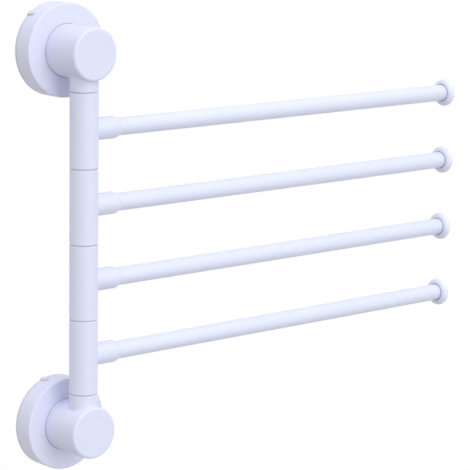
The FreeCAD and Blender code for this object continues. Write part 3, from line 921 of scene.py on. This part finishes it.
class TOWELBAR_OT_suction_cups(bpy.types.Operator):
    """Make the two suction cups, with sealing grooves and a peel tab"""

    bl_idname = "towelbar.suction_cups"
    bl_label = "Suction cups"

    def execute(self, context):
        sizes, finish = context.scene.towel_bar_sizes, context.scene.towel_bar_finish
        material = cup_rubber(finish)
        hollow_depth, seal = 0.0026, 0.024  # the hollow's depth, and its radius, where the seal begins
        hollow_rows = 18
        bend = (seal**2 + hollow_depth**2) / (2 * hollow_depth)
        hollow = [
            (seal * part, math.sqrt(bend**2 - (seal * part) ** 2) - bend + hollow_depth, 0)
            for part in evenly(0, 1, hollow_rows)
        ]
        groove, groove_edge = 0.0003, 0.0001  # a groove's depth and half width, and its rounding
        groove_step = (RING_RADIUS - seal) / (sizes.seal_grooves + 1)
        grooves = []
        for number in range(1, sizes.seal_grooves + 1):
            spot = seal + groove_step * number
            grooves += [(spot - groove, 0, groove_edge), (spot, groove, groove_edge)]
            grooves += [(spot + groove, 0, groove_edge)]
        back_edge, rim_edge, slope_edge = 0.0003, 0.0005, 0.001
        slope, boss = 0.026, 0.014  # radii at the foot and the top of the dished back
        stem, head, cover = 0.006, 0.0105, 0.001  # of the stud's pocket: radii, and the rubber over it
        corners = hollow + grooves + [
            (RING_RADIUS, 0, back_edge),
            (RING_RADIUS, sizes.cup_rim, rim_edge),
            (slope, sizes.cup_rim, slope_edge),
            (boss, CUP_BOSS_HEIGHT, slope_edge),
            (stem, CUP_BOSS_HEIGHT, 0),
            (stem, CUP_BOSS_HEIGHT - cover, 0),
            (head, CUP_BOSS_HEIGHT - cover, 0),
            (head, hollow_depth + cover, 0),
            (0, hollow_depth + cover, 0),
        ]
        for side in BASES:
            place = placed(Vector((0, 0, HUB_LEVELS[side])), TO_ROOM, UP)
            piece = turned_piece(f"{side}_cup", corners, place, material)
            joined(piece, self.tab(side, sizes, place, material))
            seat(piece, "mount", "cup_rubber", f"{side}_suction_cup")
        return {"FINISHED"}

    def tab(self, side, sizes, place, material):
        """Peel tab: a tongue from inside the cup's rim, and a round-ended flap over the lock ring."""
        tongue_length, end_steps = 0.004, 24
        half_width = sizes.tab_width / 2
        lift = (sizes.cup_rim - sizes.tab_thickness) / 2
        flap_radius = RING_RADIUS + sizes.tab_gap
        round_centre = sizes.tab_length - half_width
        flap = [Vector((flap_radius, half_width, lift)), Vector((flap_radius, -half_width, lift))]
        for angle in evenly(-math.pi / 2, math.pi / 2, end_steps):
            flap.append(Vector((
                flap_radius, half_width * math.sin(angle), round_centre + half_width * math.cos(angle)
            )))
        start, end = flap_radius - tongue_length, flap_radius + sizes.tab_thickness / 2
        tongue = [
            Vector((along, across, lift))
            for along, across in (
                (start, -half_width), (end, -half_width), (end, half_width), (start, half_width)
            )
        ]
        turned_place = place @ Matrix.Rotation(math.radians(-TAB_ANGLES[side]), 4, "Z")
        out, up = Vector((sizes.tab_thickness, 0, 0)), Vector((0, 0, sizes.tab_thickness))
        piece = slab(f"{side}_tab", flap, out, turned_place, material)
        return joined(piece, slab(f"{side}_root", tongue, up, turned_place, material))


class TOWELBAR_OT_inner_pieces(bpy.types.Operator):
    """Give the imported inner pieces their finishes"""

    bl_idname = "towelbar.inner_pieces"
    bl_label = "Inner pieces"

    def execute(self, context):
        finish = context.scene.towel_bar_finish
        finishes = {"centre_rod": bright_steel(finish)}
        for side in BASES:
            for name in ("base_core", "cup_stud", "pressure_plate"):
                finishes[f"{side}_{name}"] = core_nylon(finish)
            for name in ("hub_screw", "rod_plug"):
                finishes[f"{side}_{name}"] = bright_steel(finish)
        for node, material in finishes.items():
            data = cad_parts[node].data
            data.materials.clear()
            data.materials.append(material)
        return {"FINISHED"}


class TOWELBAR_OT_studio(bpy.types.Operator):
    """Set up the floor, the lamps, the surroundings and the camera"""

    bl_idname = "towelbar.studio"
    bl_label = "Studio"

    def execute(self, context):
        studio = context.scene.towel_bar_studio
        self.floor(studio)
        self.lamps(studio)
        self.surroundings(context.scene, studio)
        self.camera(context.scene)
        context.scene.view_settings.view_transform = "Standard"
        return {"FINISHED"}

    def floor(self, studio):
        radius = 40.0  # so far off that its rim is lost in the white
        mesh = bmesh.new()
        bmesh.ops.create_circle(mesh, cap_ends=True, radius=radius, segments=ROUND)
        bmesh.ops.translate(mesh, verts=mesh.verts, vec=(0, 0, -studio.floor_drop))
        data = bpy.data.meshes.new("floor")
        mesh.to_mesh(data)
        mesh.free()
        data.materials.append(self.floor_material())
        floor = bpy.data.objects.new("floor", data)
        bpy.context.scene.collection.objects.link(floor)

    def floor_material(self):
        """Pale matt floor that keeps the shadow near the object and is plain white far off."""
        pale, paler = (0.86, 0.86, 0.87, 1), (0.89, 0.89, 0.9, 1)
        thrown = (0.455, 0.45, 0.42, 1)  # its colour in the light that it throws back
        near, far = 0.6, 1.8  # from here it turns white, and from there it is white
        material = bpy.data.materials.new("Pale floor")
        material.use_nodes = True
        tree = material.node_tree
        matt = tree.nodes["Principled BSDF"]
        matt.inputs["Roughness"].default_value = 0.9
        place = linked(tree, "ShaderNodeTexCoord").outputs["Object"]
        tint = blended(tree, noise(tree, place, scale=3.0, detail=2.0), pale, paler)
        seen = seen_directly(tree)
        tree.links.new(blended(tree, seen, thrown, tint), matt.inputs["Base Color"])
        white = linked(tree, "ShaderNodeEmission", [("Color", (1, 1, 1, 1)), ("Strength", 1.0)])
        distance = linked(tree, "ShaderNodeVectorMath", [(0, place)], operation="LENGTH")
        away = linked(
            tree, "ShaderNodeMapRange",
            [("Value", distance.outputs["Value"]), ("From Min", near), ("From Max", far)],
        )
        share = computed(tree, "MULTIPLY", away.outputs[0], seen)
        mixed = linked(
            tree, "ShaderNodeMixShader", [(0, share), (1, matt.outputs[0]), (2, white.outputs[0])]
        )
        tree.links.new(mixed.outputs[0], tree.nodes["Material Output"].inputs["Surface"])
        return material

    def lamps(self, studio):
        target = Vector((0.16, -0.02, 0.13))  # the middle of the holder
        for name, spot, size, power in (
            ("key lamp", Vector((0.55, -2.9, 3.9)), 4.5, studio.key),
            ("fill lamp", Vector((0.2, -2.9, 0.3)), 1.6, studio.fill),
        ):
            lamp = bpy.data.lights.new(name, "AREA")
            lamp.shape = "DISK"
            lamp.size = size
            lamp.energy = power
            holder = bpy.data.objects.new(name, lamp)
            holder.location = spot
            holder.rotation_euler = (target - spot).to_track_quat("-Z", "Y").to_euler()
            bpy.context.scene.collection.objects.link(holder)

    def surroundings(self, scene, studio):
        """Soft light from all round, more from above; what is seen or mirrored of it is plain white."""
        world = bpy.data.worlds.new("Studio")
        scene.world = world
        world.use_nodes = True
        tree = world.node_tree
        light = tree.nodes["Background"]
        way = linked(tree, "ShaderNodeTexCoord").outputs["Object"]
        lean = linked(
            tree, "ShaderNodeVectorMath", [(0, way), (1, tuple(studio.slope))], operation="DOT_PRODUCT"
        )
        strength = computed(tree, "ADD", lean.outputs["Value"], studio.ambient)
        tree.links.new(strength, light.inputs["Strength"])
        light.inputs["Color"].default_value = (1, 1, 1, 1)
        white = linked(tree, "ShaderNodeBackground", [("Color", (1, 1, 1, 1)), ("Strength", 1.0)])
        mixed = linked(
            tree, "ShaderNodeMixShader",
            [(0, seen_directly(tree)), (1, light.outputs[0]), (2, white.outputs[0])],
        )
        tree.links.new(mixed.outputs[0], tree.nodes["World Output"].inputs["Surface"])

    def camera(self, scene):
        """Camera fitted to the photograph: its place, and how it is turned, in degrees."""
        place = Vector((-0.981248, -1.313119, 0.446929))
        yaw, pitch, roll = (math.radians(angle) for angle in (41.248, -10.774, 0.868))
        ahead = Vector((
            math.sin(yaw) * math.cos(pitch), math.cos(yaw) * math.cos(pitch), math.sin(pitch)
        ))
        level = Vector((math.cos(yaw), -math.sin(yaw), 0))
        upright = level.cross(ahead)
        right = level * math.cos(roll) + upright * math.sin(roll)
        upward = upright * math.cos(roll) - level * math.sin(roll)
        data = bpy.data.cameras.new("camera")
        data.sensor_width = 36.0
        data.lens = 180.94
        holder = bpy.data.objects.new("camera", data)
        turn = Matrix((right, upward, -ahead)).transposed()
        holder.matrix_world = Matrix.Translation(place) @ turn.to_4x4()
        scene.collection.objects.link(holder)
        scene.camera = holder


def seen_directly(tree):
    """1 for a ray that the camera sends, or that a mirror or glass passes on; else 0."""
    path = linked(tree, "ShaderNodeLightPath")
    total = path.outputs["Is Camera Ray"]
    for output in ("Is Glossy Ray", "Is Transmission Ray"):
        total = computed(tree, "MAXIMUM", total, path.outputs[output])
    return total


class TOWELBAR_PT_panel(bpy.types.Panel):
    """Sizes, finishes and steps of the towel bar"""

    bl_idname = "TOWELBAR_PT_panel"
    bl_label = "Towel bar"
    bl_space_type = "VIEW_3D"
    bl_region_type = "UI"
    bl_category = "Towel bar"

    def draw(self, context):
        for name in GROUPS:
            group = getattr(context.scene, name)
            box = self.layout.box()
            for field in group.__annotations__:
                box.prop(group, field)
        for operator in OPERATORS:
            self.layout.operator(operator.bl_idname)


OPERATORS = (
    TOWELBAR_OT_sleeves,
    TOWELBAR_OT_bars,
    TOWELBAR_OT_end_caps,
    TOWELBAR_OT_bushes,
    TOWELBAR_OT_hubs,
    TOWELBAR_OT_lock_rings,
    TOWELBAR_OT_suction_cups,
    TOWELBAR_OT_inner_pieces,
    TOWELBAR_OT_studio,
)
GROUPS = {
    "towel_bar_sizes": TowelBarSizes,
    "towel_bar_finish": TowelBarFinish,
    "towel_bar_studio": TowelBarStudio,
}
CLASSES = (*GROUPS.values(), *OPERATORS, TOWELBAR_PT_panel)


def register():
    for kind in CLASSES:
        bpy.utils.register_class(kind)
    for name, group in GROUPS.items():
        setattr(bpy.types.Scene, name, PointerProperty(type=group))


def unregister():
    for name in GROUPS:
        delattr(bpy.types.Scene, name)
    for kind in reversed(CLASSES):
        bpy.utils.unregister_class(kind)


def main():
    register()
    for operator in OPERATORS:
        group, name = operator.bl_idname.split(".")
        getattr(getattr(bpy.ops, group), name)()


if __name__ == "__main__":
    main()
